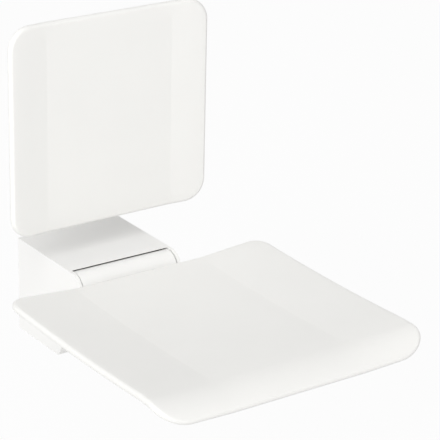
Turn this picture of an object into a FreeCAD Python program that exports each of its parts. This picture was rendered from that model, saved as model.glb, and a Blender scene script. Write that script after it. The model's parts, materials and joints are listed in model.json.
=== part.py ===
import FreeCAD, Part
import math
import os

# Fold down wall seat, millimetres.
# The wall is the plane Y = 0 and the seat stands out towards -Y. +Z is up.
# Left and right are as seen from the front: the parts named left are at -X.
# The origin is the centre of the four wall holes of the console.

V = FreeCAD.Vector
X_AXIS = V(1, 0, 0)
Y_AXIS = V(0, 1, 0)
Z_AXIS = V(0, 0, 1)

# Console
HOUSING_W = 180.0
HOUSING_H = 152.0
FOOT_BEHIND_AXIS = 40.0         # the foot of the console stands out less far than the axis
HOUSING_WALL = 3.0
CHEEK_T = 5.0
CHEEK_R = 27.0                  # rounding of the cheeks round the hinge axis
FOOT_ROUND = 5.0
AXIS_Y = 160.0                  # hinge axis to wall
BARREL_BELOW_CHEEK = 1.5        # the cheeks stand this much proud of the barrel
BARREL_END_GAP = 1.8
NOTCH_GAP = 2.2                 # barrel to the edges of the housing's opening
LIP_BELOW, LIP_OVER = 30.0, 8.0 # degrees of the return lips of that opening

# Seat panel. Lengths are counted from the hinge axis, drops from the deck.
SEAT_W = 450.0
SEAT_DEPTH = 415.0
SEAT_TO_AXIS = 42.0
SEAT_LIP_L = 57.0
SEAT_REAR_DROP = 2.5
SEAT_LIP_DROP = 4.5
SEAT_FRONT_DROP = 25.5
SEAT_SAG = 4.3
PANEL_T = 11.5
PANEL_EDGE_R = 2.0
CREASE_X = 112.0                # the crease between the flat middle and the raised wing
WING_RISE = 8.5
WING_LIP_LAG = 10.0             # the wing's lip begins this much further out
SEAT_TRIM = 12.0                # the sheet is cut from a blank this much longer at both ends
SEAT_REAR_CORNER_R = 27.0
SEAT_FRONT_CORNER_R = 50.0

# Backrest panel
BACK_W = 340.0
BACK_H = 324.0
BACK_ABOVE_DECK = 55.5
BACK_BEHIND_CHEEK = 8.2         # its front lies this much nearer the wall than the cheeks' rounding
BACK_CREASE_X = 108.0
BACK_WING_ANGLE = 5.0
BACK_CORNER_R = 35.0

# Wall fixing
WALL_PLATE_T = 5.0
WALL_PLATE_SIDE_GAP = 0.5
WALL_HOLE_DX = 110.0
WALL_HOLE_DZ = 92.0
WALL_HOLE_R = 4.5
BACK_HOLE_DX = 92.0
BACK_HOLE_DZ = 170.0
BACK_HOLE_R = 3.5

# Hinge inside the console
ARM_T = 8.0
ARM_TO_CHEEK = 2.0
ARM_TO_FRONT = 1.2              # arm edge to the inside of the slanted front
BAR_SLOT_WALL = 2.5
ARM_TO_BARREL = 1.0
ARM_TO_TAB = 1.0
ARM_NECK_OVERLAP = 2.7          # the neck to the head reaches this far into the arm's plate
HEAD_TO_HUB_EDGE = 2.8          # the arm's head is this much smaller than the hub
ARM_FOOT_RISE = 26.0
NECK_FROM, NECK_TO = 276.0, 326.0
AXLE_R = 9.0
RUNNING_GAP = 0.05
BUSH_R = 12.0
BUSH_L = 22.0
BUSH_FLANGE_R = 16.0
BUSH_FLANGE_T = 2.0
BRAKE_DISC_R = 17.0
BRAKE_DISC_T = 3.0
PRESSURE_WASHER_T = 1.5
SPRING_R = 16.0
SPRING_T = 1.0
SPRING_H = 2.5
BRAKE_BORE_GAP = 0.3
SET_SCREW_R = 2.0
SET_SCREW_L = 9.0
SET_SCREW_ANGLE = 40.0
SET_SCREW_START = 0.3           # the point's curve on the round axle
SET_SOCKET_R = 1.1
STOP_BAR_TO_BARREL = 4.5
STOP_BAR_DEPTH = 14.0
STOP_BAR_H = 12.0
STOP_BAR_BELOW_DECK = 8.0
STOP_PAD_T = 2.0
STOP_PAD_W = 25.0
STOP_PAD_INSET = 1.0
STOP_ROD_R = 2.5
STOP_ROD_TO_BARREL = 2.5        # barrel to the middle of the upright stop
STOP_CONTACT_GAP = 0.05

# Seat carrier. Lengths are counted from the hinge axis.
HUB_RELIEF_R = 9.6
HEEL_W = 90.0
HEEL_ROOT_DEPTH = 10.5
HEEL_TIP_DEPTH = 5.0
CARRIER_BELOW_DECK = 22.0
CARRIER_T = 8.0
CARRIER_NECK_INSET = 8.0        # the neck is this much narrower than the hub on each side
CARRIER_W = 170.0
CARRIER_REAR_L = 36.0
CARRIER_FRONT_L = 340.0
CARRIER_CORNER_R = 20.0
RIB_T = 6.0
RIB_H = 11.0
RIB_TIP_H = 3.0
RIB_LEVEL_L = 60.0
RIB_X = (-42.0, 0.0, 42.0)
CROSS_RIB_L = (140.0, 240.0)

# Barrel cover. Angles go round the axis: 0 points to the wall, 90 up, 180 to the front.
BARREL_T = 2.5
BARREL_FIT_GAP = 0.2
SHELL_BACK = 60.0
SHELL_END_FOOT = 271.0
SHELL_MID_FOOT = 300.0
SHELL_TO_ARM = 3.0
SHELL_SEAM = 0.7
WINDOW_GAP = 0.5
WINDOW_SIDE_GAP = 1.0
BARREL_SCREW_X = 40.0
BARREL_SCREW_INSET = 7.1        # degrees from the window's edge
BARREL_SCREW_R = 1.5
BARREL_SCREW_HEAD_R = 2.75
BARREL_SCREW_L = 10.0
BARREL_SCREW_SUNK = 0.3

# Fasteners and inserts of the panels
INSERT_R = 4.5
INSERT_BORE_R = 3.0
INSERT_L = 10.0
INSERT_SET_IN = 0.2
SCREW_R = 2.95
SCREW_HOLE_R = 3.3
SCREW_HEAD_R = 5.4
SCREW_HEAD_H = 3.6
SCREW_BITE = 8.0
SOCKET_R = 2.0
SOCKET_DEPTH = 2.2
WASHER_R = 7.0
WASHER_T = 1.2
BOSS_R = 12.0
SEAT_BOSS_X = 60.0
SEAT_BOSS_L = (90.0, 190.0, 290.0)
BACK_BOSS_X = 34.0
BACK_BOSS_DZ = 110.0
BACK_BOSS_R = 9.0
BACK_BOSS_L = 2.8
BACK_INSERT_L = 8.0

# Backrest bracket and its cover
BRACKET_T = 4.0
BRACKET_PLATE_W = 124.0
BRACKET_PLATE_H = 214.0
BRACKET_FRONT_W = 100.0
BRACKET_FRONT_H = 146.0
BRACKET_WEB_X = 20.0
BRACKET_WEB_H = 130.0
BRACKET_WEB_FLARE = 20.0
TAB_W = 30.0
TAB_L = 18.0
TAB_T = 3.0
COVER_SCREW_R = 1.9
COVER_SCREW_HEAD_R = 3.8
COVER_SCREW_HEAD_H = 2.4
COVER_SCREW_L = 8.0
COVER_SCREW_HOLE_R = 2.1
SMALL_SOCKET_R = 1.2
BACK_COVER_W = 150.0
BACK_COVER_R = 16.0
BACK_COVER_T = 3.0
BACK_COVER_TO_PANEL = 1.3

# Places that follow from the sizes above
DECK_Z = HOUSING_H / 2
AXIS = V(0, -AXIS_Y, DECK_Z - CHEEK_R)
CHEEK_INNER_X = HOUSING_W / 2 - CHEEK_T
ARM_OUTER_X = CHEEK_INNER_X - ARM_TO_CHEEK
ARM_INNER_X = ARM_OUTER_X - ARM_T
HOUSING_FOOT_Y = AXIS_Y - FOOT_BEHIND_AXIS
BARREL_R = CHEEK_R - BARREL_BELOW_CHEEK
NOTCH_R = BARREL_R + NOTCH_GAP
HUB_R = BARREL_R - BARREL_T - BARREL_FIT_GAP
HEAD_R = HUB_R - HEAD_TO_HUB_EDGE
SPRING_X = ARM_INNER_X - SPRING_H
WASHER_X = SPRING_X - PRESSURE_WASHER_T
DISC_X = WASHER_X - BRAKE_DISC_T
HUB_X = DISC_X - BUSH_FLANGE_T
NECK_X = HUB_X - CARRIER_NECK_INSET
SEAT_REAR_Y = AXIS_Y + SEAT_TO_AXIS
SEAT_FRONT_Y = SEAT_REAR_Y + SEAT_DEPTH
SEAT_LIP_Y = SEAT_FRONT_Y - SEAT_LIP_L
CARRIER_TOP_Z = DECK_Z - CARRIER_BELOW_DECK
BACK_FRONT_Y = AXIS_Y - CHEEK_R - BACK_BEHIND_CHEEK
BRACKET_FRONT_Y = BACK_FRONT_Y - PANEL_T - BACK_BOSS_L
BACK_CENTRE_Z = DECK_Z + BACK_ABOVE_DECK + BACK_H / 2
BACK_COVER_H = BRACKET_PLATE_H + 2 * BACK_COVER_T
WALL_PLATE_W = 2 * (CHEEK_INNER_X - WALL_PLATE_SIDE_GAP)
WALL_PLATE_H = HOUSING_H - 2 * HOUSING_WALL
TAB_Y = WALL_PLATE_T + TAB_L / 2
STOP_BAR_TO_AXIS = BARREL_R + STOP_BAR_TO_BARREL
STOP_BAR_FRONT_Y = AXIS_Y - STOP_BAR_TO_AXIS
STOP_ROD_REACH = BARREL_R + STOP_ROD_TO_BARREL
HEEL_L = STOP_BAR_TO_AXIS + STOP_BAR_DEPTH - STOP_PAD_INSET
STOP_BAR_TOP = DECK_Z - STOP_BAR_BELOW_DECK
STOP_FACE_Z = STOP_BAR_TOP - STOP_BAR_H - STOP_PAD_T
FOOT_TO_AXIS = math.hypot(FOOT_BEHIND_AXIS, HOUSING_H - CHEEK_R)
SLANT = math.asin(FOOT_BEHIND_AXIS / FOOT_TO_AXIS) + math.asin(CHEEK_R / FOOT_TO_AXIS)
WINDOW_RISE = CARRIER_TOP_Z - AXIS.z + WINDOW_GAP
WINDOW_FALL = WINDOW_RISE - 2 * WINDOW_GAP - CARRIER_T - RIB_H
WINDOW_TOP = 180 - math.degrees(math.asin(WINDOW_RISE / (BARREL_R - BARREL_T)))
WINDOW_FOOT = 180 - math.degrees(math.asin(WINDOW_FALL / (BARREL_R - BARREL_T)))
BARREL_SCREW_ANGLES = (WINDOW_TOP - BARREL_SCREW_INSET, WINDOW_FOOT + BARREL_SCREW_INSET)
SIDES = (("left", -1), ("right", 1))


def export(name, shape):
    """Writes one sub-part and prints its volume."""
    shape.exportStep("parts/" + name + ".step")
    print(name, "solids", len(shape.Solids), "valid", shape.isValid(), "volume", round(shape.Volume))


def box(x0, x1, y0, y1, z0, z1):
    return Part.makeBox(x1 - x0, y1 - y0, z1 - z0, V(x0, y0, z0))


def cylinder_x(radius, x0, x1, centre):
    return Part.makeCylinder(radius, x1 - x0, V(x0, centre.y, centre.z), X_AXIS)


def extrude_yz(points, x0, x1):
    """A prism along X from an outline given as (y, z) points."""
    wire = Part.makePolygon([V(x0, y, z) for y, z in points + points[:1]])
    return Part.Face(wire).extrude(V(x1 - x0, 0, 0))


def around_axis(radius, degrees):
    """The (y, z) point at a radius and an angle round the hinge axis."""
    a = math.radians(degrees)
    return AXIS.y + radius * math.cos(a), AXIS.z + radius * math.sin(a)


def sector_x(radius, start, end, x0, x1):
    """A pie of the given radius round the hinge axis, from one angle to another."""
    middle = (start + end) / 2
    centre = V(x0, AXIS.y, AXIS.z)
    first, half, last = (V(x0, *around_axis(radius, a)) for a in (start, middle, end))
    edges = [
        Part.LineSegment(centre, first).toShape(),
        Part.Arc(first, half, last).toShape(),
        Part.LineSegment(last, centre).toShape(),
    ]
    return Part.Face(Part.Wire(edges)).extrude(V(x1 - x0, 0, 0))


def ring_sector_x(outer, inner, start, end, x0, x1):
    return sector_x(outer, start, end, x0, x1).cut(cylinder_x(inner, x0 - 1, x1 + 1, AXIS))


def rounded_plate(width, height, radius, thickness, centre, normal):
    """A plate with rounded corners. Its width runs along X and its height along the other direction."""
    across = Z_AXIS if normal == Y_AXIS else Y_AXIS
    w, h, k = width / 2, height / 2, radius * (1 - math.sqrt(0.5))
    at = lambda a, b: centre + X_AXIS * a + across * b
    edges = []
    for i in range(4):
        sx, sy = ((1, 1), (-1, 1), (-1, -1), (1, -1))[i]
        ends = [at(sx * w, sy * (h - radius)), at(sx * (w - radius), sy * h)]
        if i % 2:
            ends.reverse()
        edges.append(Part.Arc(ends[0], at(sx * (w - k), sy * (h - k)), ends[1]).toShape())
    corners = edges
    edges = []
    for i in range(4):
        here, there = corners[i], corners[(i + 1) % 4]
        edges.append(here)
        edges.append(Part.LineSegment(here.Vertexes[-1].Point, there.Vertexes[0].Point).toShape())
    return Part.Face(Part.Wire(Part.__sortEdges__(edges))).extrude(normal * thickness)


def slant_point(distance_in, drop):
    """A point on the console's slanted front, moved in by a distance, at a drop below the deck."""
    along = (drop - CHEEK_R - CHEEK_R * math.sin(SLANT)) * math.tan(SLANT)
    y = -(AXIS_Y + CHEEK_R * math.cos(SLANT) - along) + distance_in / math.cos(SLANT)
    return y, DECK_Z - drop


def console_outline(x, inset):
    """The console's side outline: deck, rounding round the axis, slanted front and foot."""
    r = CHEEK_R - inset
    top = DECK_Z - inset
    foot = -DECK_Z + inset
    front_top = V(x, *around_axis(r, 180 + math.degrees(SLANT)))
    rounding = V(x, *around_axis(r, 135 + math.degrees(SLANT) / 2))
    foot_front = V(x, slant_point(inset, HOUSING_H - inset)[0], foot)
    edges = [
        Part.LineSegment(V(x, 0, top), V(x, AXIS.y, top)).toShape(),
        Part.Arc(V(x, AXIS.y, top), rounding, front_top).toShape(),
        Part.LineSegment(front_top, foot_front).toShape(),
        Part.LineSegment(foot_front, V(x, 0, foot)).toShape(),
        Part.LineSegment(V(x, 0, foot), V(x, 0, top)).toShape(),
    ]
    return Part.Wire(edges)


def edges_along_x(shape, test):
    """The straight edges that run along X and whose middle passes a test."""
    found = []
    for edge in shape.Edges:
        a, b = edge.Vertexes[0].Point, edge.Vertexes[-1].Point
        along_x = abs(a.y - b.y) < 1e-6 and abs(a.z - b.z) < 1e-6
        if along_x and test((a + b) * 0.5):
            found.append(edge)
    return found


def make_housing_cover():
    """One moulding: deck, two cheeks, slanted front and foot, open at the wall and round the barrel."""
    w = HOUSING_W / 2
    body = Part.Face(console_outline(-w, 0)).extrude(V(HOUSING_W, 0, 0))
    foot = edges_along_x(body, lambda p: p.z < -DECK_Z + 1 and p.y < -HOUSING_FOOT_Y + 1)
    body = body.makeFillet(FOOT_ROUND, foot)
    inside = Part.Face(console_outline(-CHEEK_INNER_X, HOUSING_WALL)).extrude(V(2 * CHEEK_INNER_X, 0, 0))
    notch = cylinder_x(NOTCH_R, -CHEEK_INNER_X, CHEEK_INNER_X, AXIS)
    deck_angle = math.degrees(math.asin(CHEEK_R / NOTCH_R))
    lips = ring_sector_x(NOTCH_R + HOUSING_WALL, NOTCH_R, deck_angle - LIP_BELOW, deck_angle + LIP_OVER,
                         -CHEEK_INNER_X, CHEEK_INNER_X)
    front_angle = 180 + math.degrees(SLANT) + math.degrees(math.acos(CHEEK_R / NOTCH_R))
    lips = lips.fuse(ring_sector_x(NOTCH_R + HOUSING_WALL, NOTCH_R, front_angle - LIP_OVER,
                                   front_angle + LIP_OVER, -CHEEK_INNER_X, CHEEK_INNER_X))
    skin = Part.Face(console_outline(-w, 0)).extrude(V(HOUSING_W, 0, 0))
    cover = body.cut(inside).cut(notch).fuse(lips.common(skin))
    for x in (-1, 1):
        hole = Part.makeCylinder(COVER_SCREW_HOLE_R, 2 * HOUSING_WALL,
                                 V(x * WALL_HOLE_DX / 2, -TAB_Y, -DECK_Z - HOUSING_WALL / 2), Z_AXIS)
        cover = cover.cut(hole)
    return cover.removeSplitter()


def cover_tab(x, z, up, plate_t):
    """A tab bent forward from a wall plate, with a hole for a cover screw. up is the tab's outer side."""
    low = z - TAB_T if up > 0 else z
    tab = box(x - TAB_W / 2, x + TAB_W / 2, -plate_t - TAB_L, -plate_t, low, low + TAB_T)
    hole = Part.makeCylinder(COVER_SCREW_R, TAB_T + 2, V(x, -plate_t - TAB_L / 2, low - 1), Z_AXIS)
    return tab.cut(hole)


def make_wall_plate():
    """The console's steel plate with four wall holes and two tabs for the cover screws."""
    z = WALL_PLATE_H / 2
    plate = box(-WALL_PLATE_W / 2, WALL_PLATE_W / 2, -WALL_PLATE_T, 0, -z, z)
    for x in (-1, 1):
        plate = plate.fuse(cover_tab(x * WALL_HOLE_DX / 2, -z, -1, WALL_PLATE_T))
        for h in (-1, 1):
            at = V(x * WALL_HOLE_DX / 2, -WALL_PLATE_T - 1, h * WALL_HOLE_DZ / 2)
            plate = plate.cut(Part.makeCylinder(WALL_HOLE_R, WALL_PLATE_T + 2, at, Y_AXIS))
    return plate.removeSplitter()


def heel_underside():
    """The heel's lower edge at rest as two points (distance from the axis to the wall side, height)."""
    top = STOP_FACE_Z - AXIS.z
    return (HEAD_R, top - HEEL_ROOT_DEPTH), (HEEL_L, top - HEEL_TIP_DEPTH)


def upright_rod_centre():
    """Where the upright stop lies: against the heel's lower edge when the heel points down."""
    (d0, h0), (d1, h1) = heel_underside()
    tilt = math.atan2(h1 - h0, d1 - d0)
    height = h0 + (h1 - h0) * (STOP_ROD_REACH - d0) / (d1 - d0)
    clear = STOP_ROD_R + STOP_CONTACT_GAP
    return V(0, AXIS.y + height - clear * math.cos(tilt), AXIS.z - STOP_ROD_REACH - clear * math.sin(tilt))


def make_bearing_arm(side):
    """A steel arm from the wall plate to the hinge axis. Its head hangs on a neck below the axis."""
    x0 = ARM_INNER_X if side > 0 else -ARM_OUTER_X
    x1 = x0 + ARM_T
    inset = HOUSING_WALL + ARM_TO_FRONT
    rod = upright_rod_centre()
    top = DECK_Z - HOUSING_WALL - 0.5
    front_of_bar = -STOP_BAR_FRONT_Y - BAR_SLOT_WALL
    foot = -WALL_PLATE_H / 2 + TAB_T + ARM_TO_TAB
    outline = [
        (-WALL_PLATE_T, top),
        (front_of_bar, top),
        (front_of_bar, STOP_BAR_TOP - STOP_BAR_H),
        (AXIS.y, AXIS.z),
        slant_point(inset, DECK_Z - rod.z - 1.2 * STOP_ROD_R),
        slant_point(inset, HOUSING_H - ARM_FOOT_RISE),
        (-WALL_PLATE_T, foot),
    ]
    plate = extrude_yz(outline, x0, x1)
    plate = plate.cut(cylinder_x(BARREL_R + ARM_TO_BARREL, x0 - 1, x1 + 1, AXIS))
    neck = sector_x(BARREL_R + ARM_TO_BARREL + ARM_NECK_OVERLAP, NECK_FROM, NECK_TO, x0, x1)
    head = cylinder_x(HEAD_R, x0, x1, AXIS)
    arm = plate.fuse(neck).fuse(head)
    arm = arm.cut(cylinder_x(AXLE_R, x0 - 1, x1 + 1, AXIS))
    arm = arm.cut(cylinder_x(STOP_ROD_R, x0 - 1, x1 + 1, rod))
    arm = arm.cut(stop_bar_solid())
    arm = arm.cut(set_screw_pin(side, SET_SCREW_R, -1, HEAD_R))
    return arm.removeSplitter()


def stop_bar_solid():
    return box(-ARM_OUTER_X, ARM_OUTER_X, -STOP_BAR_FRONT_Y, -STOP_BAR_FRONT_Y + STOP_BAR_DEPTH,
               STOP_BAR_TOP - STOP_BAR_H, STOP_BAR_TOP)


def make_stop_pads():
    """Two pads bonded under the stop bar. The heel bears on them when the seat is down."""
    y0 = -STOP_BAR_FRONT_Y + STOP_PAD_INSET
    y1 = -STOP_BAR_FRONT_Y + STOP_BAR_DEPTH - STOP_PAD_INSET
    pads = []
    for x in (-HEEL_W / 2, HEEL_W / 2 - STOP_PAD_W):
        pads.append(box(x, x + STOP_PAD_W, y0, y1, STOP_FACE_Z, STOP_FACE_Z + STOP_PAD_T))
    return Part.makeCompound(pads)


def make_upright_stop_rod():
    return cylinder_x(STOP_ROD_R, -ARM_OUTER_X, ARM_OUTER_X, upright_rod_centre())


def make_axle():
    """The hinge axle with a chamfer at each end."""
    axle = cylinder_x(AXLE_R, -ARM_OUTER_X, ARM_OUTER_X, AXIS)
    rims = [e for e in axle.Edges if e.Closed]
    return axle.makeChamfer(0.6, rims)


def set_screw_pin(side, radius, start, length):
    """A pin in the arm's head, pointing at the axle. It starts at a distance from the axle's face."""
    a = math.radians(SET_SCREW_ANGLE)
    out = V(0, math.cos(a), math.sin(a))
    at = AXIS + X_AXIS * side * (ARM_INNER_X + ARM_T / 2) + out * (AXLE_R + start)
    return Part.makeCylinder(radius, length, at, out)


def make_axle_set_screws():
    """Headless screws that hold the axle in the arms' heads, each with a socket."""
    screws = []
    for _, side in SIDES:
        screw = set_screw_pin(side, SET_SCREW_R, SET_SCREW_START, SET_SCREW_L)
        socket = set_screw_pin(side, SET_SOCKET_R, SET_SCREW_START + SET_SCREW_L - 2, 4)
        screws.append(screw.cut(socket))
    return Part.makeCompound(screws)


def ring_x(side, outer, inner, inside_x, thickness):
    """A ring round the axle on one side, from inside_x outwards."""
    x0 = inside_x if side > 0 else -inside_x - thickness
    ring = cylinder_x(outer, x0, x0 + thickness, AXIS)
    if inner:
        ring = ring.cut(cylinder_x(inner, x0 - 1, x0 + thickness + 1, AXIS))
    return ring


def make_bush(side):
    """A flanged plain bearing pressed into the end of the hub."""
    bore = AXLE_R + RUNNING_GAP
    sleeve = ring_x(side, BUSH_R, bore, HUB_X - BUSH_L, BUSH_L)
    return sleeve.fuse(ring_x(side, BUSH_FLANGE_R, bore, HUB_X, BUSH_FLANGE_T)).removeSplitter()


def make_friction_disc(side):
    return ring_x(side, BRAKE_DISC_R, AXLE_R + BRAKE_BORE_GAP, DISC_X, BRAKE_DISC_T)


def make_pressure_washer(side):
    return ring_x(side, BRAKE_DISC_R, AXLE_R + BRAKE_BORE_GAP, WASHER_X, PRESSURE_WASHER_T)


def make_disc_spring(side):
    """A conical spring washer, its wide end on the pressure washer and its narrow end on the arm."""
    bore = AXLE_R + BRAKE_BORE_GAP
    a, b = SPRING_X, ARM_INNER_X
    outline = [(SPRING_R, a), (SPRING_R, a + SPRING_T), (bore, b), (bore, b - SPRING_T)]
    points = [V(side * x, AXIS.y, AXIS.z + r) for r, x in outline + outline[:1]]
    return Part.Face(Part.makePolygon(points)).revolve(AXIS, X_AXIS, 360)


def make_seat_carrier():
    """One casting: hub on the axle, heel to the stop bar, arm plate with ribs under the seat."""
    hub = cylinder_x(HUB_R, -HUB_X, HUB_X, AXIS)
    (d0, h0), (d1, h1) = heel_underside()
    heel = extrude_yz([(AXIS.y, STOP_FACE_Z), (AXIS.y + HEEL_L, STOP_FACE_Z), (AXIS.y + d1, AXIS.z + h1),
                       (AXIS.y + d0, AXIS.z + h0), (AXIS.y, AXIS.z + h0)], -HEEL_W / 2, HEEL_W / 2)
    under = CARRIER_TOP_Z - CARRIER_T
    rear = AXIS.y - CARRIER_REAR_L
    neck = box(-NECK_X, NECK_X, rear - CARRIER_CORNER_R, AXIS.y, under, CARRIER_TOP_Z)
    length = CARRIER_FRONT_L - CARRIER_REAR_L
    centre = V(0, rear - length / 2, under)
    arm = rounded_plate(CARRIER_W, length, CARRIER_CORNER_R, CARRIER_T, centre, Z_AXIS)
    carrier = hub.fuse(heel).fuse(neck).fuse(arm)
    level = rear - RIB_LEVEL_L
    tip = AXIS.y - CARRIER_FRONT_L + CARRIER_CORNER_R
    for x in RIB_X:
        rib = extrude_yz([(AXIS.y, under), (AXIS.y, under - RIB_H), (level, under - RIB_H),
                          (tip, under - RIB_TIP_H), (tip, under)], x - RIB_T / 2, x + RIB_T / 2)
        carrier = carrier.fuse(rib)
    w = CARRIER_W / 2 - RIB_T
    for length in CROSS_RIB_L:
        y = AXIS.y - length
        height = RIB_TIP_H + (RIB_H - RIB_TIP_H) * (y - tip) / (level - tip)
        carrier = carrier.fuse(box(-w, w, y - RIB_T / 2, y + RIB_T / 2, under - height, under))
    carrier = carrier.cut(cylinder_x(HUB_RELIEF_R, -HUB_X - 1, HUB_X + 1, AXIS))
    for _, side in SIDES:
        carrier = carrier.cut(ring_x(side, BUSH_R, 0, HUB_X - BUSH_L, BUSH_L + 1))
    for at in seat_screw_places():
        hole = Part.makeCylinder(SCREW_HOLE_R, CARRIER_T + 2, at - Z_AXIS * (CARRIER_T + 1), Z_AXIS)
        carrier = carrier.cut(hole)
    for angle in BARREL_SCREW_ANGLES:
        for at, direction in barrel_screw_places(angle):
            carrier = carrier.cut(Part.makeCylinder(BARREL_SCREW_R, BARREL_SCREW_L, at, direction * -1))
    return carrier.removeSplitter()


def barrel_screw_places(angle):
    """Where each screw of one cover half starts on its outside, and the way it points out."""
    y, z = around_axis(BARREL_R, angle)
    direction = (V(0, y, z) - AXIS).normalize()
    return [(V(x, y, z), direction) for x in (-BARREL_SCREW_X, BARREL_SCREW_X)]


def barrel_screw(at, direction):
    """A countersunk screw, a little below the cover's surface: a cone on a shank."""
    top = at - direction * BARREL_SCREW_SUNK
    cone_h = BARREL_SCREW_HEAD_R - BARREL_SCREW_R
    cone = Part.makeCone(BARREL_SCREW_HEAD_R, BARREL_SCREW_R, cone_h, top, direction * -1)
    shank = Part.makeCylinder(BARREL_SCREW_R, BARREL_SCREW_L - BARREL_SCREW_SUNK, top, direction * -1)
    return cone.fuse(shank)


def make_barrel_cover_screws():
    screws = []
    for angle in BARREL_SCREW_ANGLES:
        for at, direction in barrel_screw_places(angle):
            mouth = at - direction * (BARREL_SCREW_SUNK + SMALL_SOCKET_R)
            socket = Part.makeCylinder(SMALL_SOCKET_R, 2 * SMALL_SOCKET_R, mouth, direction)
            screws.append(barrel_screw(at, direction).cut(socket))
    return Part.makeCompound(screws)


def shell_ring(start, end, half_width):
    return ring_sector_x(BARREL_R, BARREL_R - BARREL_T, start, end, -half_width, half_width)


def with_screw_holes(shell, angle):
    for at, direction in barrel_screw_places(angle):
        shell = shell.cut(barrel_screw(at, direction))
        mouth = Part.makeCylinder(BARREL_SCREW_HEAD_R, 2, at - direction * BARREL_SCREW_SUNK, direction)
        shell = shell.cut(mouth)
    return shell.removeSplitter()


def make_barrel_cover_upper():
    """The upper half of the hinge barrel's skin."""
    half_width = CHEEK_INNER_X - BARREL_END_GAP
    return with_screw_holes(shell_ring(SHELL_BACK, WINDOW_TOP, half_width), BARREL_SCREW_ANGLES[0])


def make_barrel_cover_lower():
    """The lower half of the barrel's skin, with a window for the carrier's neck."""
    half_width = CHEEK_INNER_X - BARREL_END_GAP
    ends = shell_ring(WINDOW_TOP + SHELL_SEAM, SHELL_END_FOOT, half_width)
    middle = shell_ring(WINDOW_FOOT, SHELL_MID_FOOT, ARM_INNER_X - SHELL_TO_ARM)
    window_x = NECK_X + WINDOW_SIDE_GAP
    window = sector_x(BARREL_R + 1, WINDOW_TOP, WINDOW_FOOT, -window_x, window_x)
    return with_screw_holes(ends.cut(window).fuse(middle), BARREL_SCREW_ANGLES[1])


def circle_centre(a, m, b):
    """Centre of the circle through three (y, z) points."""
    d = 2 * (a[0] * (m[1] - b[1]) + m[0] * (b[1] - a[1]) + b[0] * (a[1] - m[1]))
    squares = [p[0] ** 2 + p[1] ** 2 for p in (a, m, b)]
    y = (squares[0] * (m[1] - b[1]) + squares[1] * (b[1] - a[1]) + squares[2] * (a[1] - m[1])) / d
    z = (squares[0] * (b[0] - m[0]) + squares[1] * (a[0] - b[0]) + squares[2] * (m[0] - a[0])) / d
    return y, z


def moved_from(centre, point, change):
    """A point moved away from a centre by a change in radius."""
    dy, dz = point[0] - centre[0], point[1] - centre[1]
    r = math.hypot(dy, dz)
    return centre[0] + dy * (r + change) / r, centre[1] + dz * (r + change) / r


def turned(centre, point, shift):
    """A point moved round a centre by a length of arc, anticlockwise seen from +X."""
    dy, dz = point[0] - centre[0], point[1] - centre[1]
    a = shift / math.hypot(dy, dz)
    return centre[0] + dy * math.cos(a) - dz * math.sin(a), centre[1] + dy * math.sin(a) + dz * math.cos(a)


def tangent_mid(start, direction, end):
    """Middle of the arc that leaves start along a direction and ends at end."""
    cy, cz = end[0] - start[0], end[1] - start[1]
    chord = math.hypot(cy, cz)
    turn = math.atan2(cz, cy) - math.atan2(direction[1], direction[0])
    turn = math.atan2(math.sin(turn), math.cos(turn))
    bulge = chord / 2 * math.tan(turn / 2)
    return (start[0] + end[0]) / 2 + cz / chord * bulge, (start[1] + end[1]) / 2 - cy / chord * bulge


def seat_section(x, rise, lag):
    """The seat sheet's section at one X: a shallow hollow, then the lip that turns down.

    It runs on a little past both edges of the seat, where the plan outline trims it.
    """
    rear = (-SEAT_REAR_Y, DECK_Z - SEAT_REAR_DROP + rise)
    lip = (-SEAT_LIP_Y - lag, DECK_Z - SEAT_LIP_DROP + rise)
    front = (-SEAT_FRONT_Y, DECK_Z - SEAT_FRONT_DROP)
    low = ((rear[0] + lip[0]) / 2, (rear[1] + lip[1]) / 2 - SEAT_SAG)
    hollow = circle_centre(rear, low, lip)
    radius_y, radius_z = lip[0] - hollow[0], lip[1] - hollow[1]
    heading = (radius_z, -radius_y) if radius_z < 0 else (-radius_z, radius_y)
    turn = tangent_mid(lip, heading, front)
    nose = circle_centre(lip, turn, front)
    top = [turned(hollow, rear, SEAT_TRIM), low, lip, turn, turned(nose, front, SEAT_TRIM)]
    under = [moved_from(hollow, p, PANEL_T) for p in top[:3]]
    under += [moved_from(nose, p, -PANEL_T) for p in top[3:]]
    a = [V(x, *p) for p in top]
    b = [V(x, *p) for p in under]
    edges = [
        Part.Arc(a[0], a[1], a[2]).toShape(),
        Part.Arc(a[2], a[3], a[4]).toShape(),
        Part.LineSegment(a[4], b[4]).toShape(),
        Part.Arc(b[4], b[3], b[2]).toShape(),
        Part.Arc(b[2], b[1], b[0]).toShape(),
        Part.LineSegment(b[0], a[0]).toShape(),
    ]
    return Part.Wire(edges)


def seat_plan():
    """The plan outline of the seat with small rear corners and larger front corners."""
    split = -(SEAT_FRONT_Y + SEAT_REAR_Y) / 2
    low = V(0, split, -HOUSING_H)
    rear = rounded_plate(SEAT_W, SEAT_DEPTH, SEAT_REAR_CORNER_R, 2 * HOUSING_H, low, Z_AXIS)
    front = rounded_plate(SEAT_W, SEAT_DEPTH, SEAT_FRONT_CORNER_R, 2 * HOUSING_H, low, Z_AXIS)
    w = SEAT_W
    rear = rear.common(box(-w, w, split, split + w, -w, w))
    front = front.common(box(-w, w, split - w, split, -w, w))
    return rear.fuse(front).removeSplitter()


def round_rims(solid, is_side, radius):
    """Rounds every edge between a panel's broad faces and its sides."""
    rims = []
    for edge in solid.Edges:
        faces = solid.ancestorsOfType(edge, Part.Face)
        if len(faces) == 2 and is_side(faces[0]) != is_side(faces[1]):
            rims.append(edge)
    return solid.makeFillet(radius, rims)


def middle_normal(face):
    u0, u1, v0, v1 = face.ParameterRange
    return face.normalAt((u0 + u1) / 2, (v0 + v1) / 2)


def is_seat_side(face):
    return abs(middle_normal(face).z) < 0.5


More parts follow.
